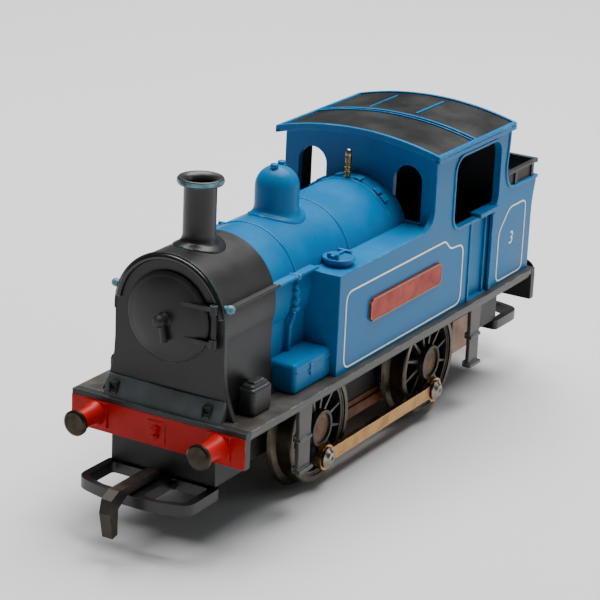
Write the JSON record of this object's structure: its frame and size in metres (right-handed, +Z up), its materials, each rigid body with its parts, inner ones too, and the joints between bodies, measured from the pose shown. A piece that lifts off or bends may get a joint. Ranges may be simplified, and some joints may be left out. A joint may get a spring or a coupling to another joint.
{
  "type": "model train",
  "caption": "Small toy tank locomotive with four coupled spoked wheels, side tanks, open-sided cab, coal bunker, worm-drive motor and a drop-hook coupling at each end.",
  "frame": {"origin": "on the plane that the wheel flanges touch, midway between the two coupling hooks", "axes": "+X forward (chimney end), +Y to the locomotive's left, +Z up"},
  "size_m": [0.1232, 0.031, 0.0536],
  "materials": {
    "blue_body": "moulded styrene body, painted blue with worn black smokebox, plate and roof and red beams",
    "red_plate": "printed red nameplate with a gilt edge, left bare of lettering",
    "buffer_black": "chemically blackened turned steel",
    "whistle_brass": "turned brass",
    "cast_black": "die-cast zinc alloy, painted black",
    "ballast_lead": "dull cast ballast",
    "tyre_metal": "turned nickel-plated tyre, tarnished",
    "wheel_black": "moulded acetal, black",
    "axle_steel": "ground steel, lightly tarnished",
    "pin_nickel": "bright nickel-plated steel",
    "rod_plate": "plated pressed steel",
    "gear_nylon": "moulded nylon",
    "gear_brass": "turned brass",
    "core_iron": "stamped iron laminations",
    "coil_copper": "enamelled copper wire",
    "commutator_copper": "copper segments",
    "magnet_grey": "sintered magnet",
    "bracket_zinc": "stamped zinc-plated steel",
    "bearing_bronze": "sintered bronze bush",
    "carbon": "pressed carbon",
    "spring_brass": "rolled spring brass",
    "paxolin": "brown phenolic laminate",
    "coupling_black": "moulded acetal, black",
    "hook_steel": "blackened stamped steel",
    "screw_steel": "blackened steel screw"
  },
  "bodies": {
    "frame_and_body": {"body_shell": "blue_body", "whistle": "whistle_brass", "nameplate_left": "red_plate", "nameplate_right": "red_plate", "ballast_weight": "ballast_lead", "chassis_block": "cast_black", "body_screws": "screw_steel", "magnet": "magnet_grey", "pickup_plate": "paxolin", "suppressor_capacitor": "paxolin", "pole_piece_left": "core_iron", "carbon_brush_left": "carbon", "brush_arm_left": "spring_brass", "pickup_strip_left": "spring_brass", "buffer_head_front_left": "buffer_black", "buffer_head_rear_left": "buffer_black", "pole_piece_right": "core_iron", "carbon_brush_right": "carbon", "brush_arm_right": "spring_brass", "pickup_strip_right": "spring_brass", "buffer_head_front_right": "buffer_black", "buffer_head_rear_right": "buffer_black", "motor_bracket_front": "bracket_zinc", "motor_bearing_front": "bearing_bronze", "coupling_loop_front": "coupling_black", "hook_pin_front": "screw_steel", "coupling_screw_front": "screw_steel", "motor_bracket_rear": "bracket_zinc", "motor_bearing_rear": "bearing_bronze", "coupling_loop_rear": "coupling_black", "hook_pin_rear": "screw_steel", "coupling_screw_rear": "screw_steel"},
    "front_wheelset": {"axle_front": "axle_steel", "tyre_front_left": "tyre_metal", "tyre_front_right": "tyre_metal", "wheel_centre_front_left": "wheel_black", "wheel_centre_front_right": "wheel_black", "crankpin_front_left": "pin_nickel", "crankpin_front_right": "pin_nickel", "worm_wheel": "gear_nylon"},
    "rear_wheelset": {"axle_rear": "axle_steel", "tyre_rear_left": "tyre_metal", "tyre_rear_right": "tyre_metal", "wheel_centre_rear_left": "wheel_black", "wheel_centre_rear_right": "wheel_black", "crankpin_rear_left": "pin_nickel", "crankpin_rear_right": "pin_nickel"},
    "rod_left": {"coupling_rod_left": "rod_plate"},
    "rod_right": {"coupling_rod_right": "rod_plate"},
    "armature": {"motor_shaft": "axle_steel", "armature_core": "core_iron", "armature_windings": "coil_copper", "commutator": "commutator_copper", "worm": "gear_brass"},
    "front_hook": {"coupling_hook_front": "hook_steel"},
    "rear_hook": {"coupling_hook_rear": "hook_steel"}
  },
  "joints": [
    {"name": "front_axle_spin", "type": "hinge", "parent": "frame_and_body", "child": "front_wheelset", "pos_m": [0.01884, 0, 0.01012], "axis": [0, 1, 0], "continuous": true},
    {"name": "rear_axle_spin", "type": "hinge", "parent": "frame_and_body", "child": "rear_wheelset", "pos_m": [-0.01747, 0, 0.01012], "axis": [0, 1, 0], "continuous": true},
    {"name": "left_rod_turn", "type": "hinge", "parent": "front_wheelset", "child": "rod_left", "pos_m": [0.01884, 0.01221, 0.00542], "axis": [0, 1, 0], "continuous": true},
    {"name": "right_rod_turn", "type": "hinge", "parent": "front_wheelset", "child": "rod_right", "pos_m": [0.02354, -0.01221, 0.01012], "axis": [0, 1, 0], "continuous": true},
    {"name": "armature_spin", "type": "hinge", "parent": "frame_and_body", "child": "armature", "pos_m": [0, 0, 0.01872], "axis": [1, 0, 0], "continuous": true},
    {"name": "front_hook_lift", "type": "hinge", "parent": "frame_and_body", "child": "front_hook", "pos_m": [0.0476, 0, 0.0082], "axis": [0, -1, 0], "range_deg": [0, 25]},
    {"name": "rear_hook_lift", "type": "hinge", "parent": "frame_and_body", "child": "rear_hook", "pos_m": [-0.0476, 0, 0.0082], "axis": [0, 1, 0], "range_deg": [0, 25]}
  ],
  "couplings": [
    {"joint": "rear_axle_spin", "follows": "front_axle_spin", "ratio": 1},
    {"joint": "left_rod_turn", "follows": "front_axle_spin", "ratio": -1},
    {"joint": "right_rod_turn", "follows": "front_axle_spin", "ratio": -1},
    {"joint": "armature_spin", "follows": "front_axle_spin", "ratio": -24}
  ]
}
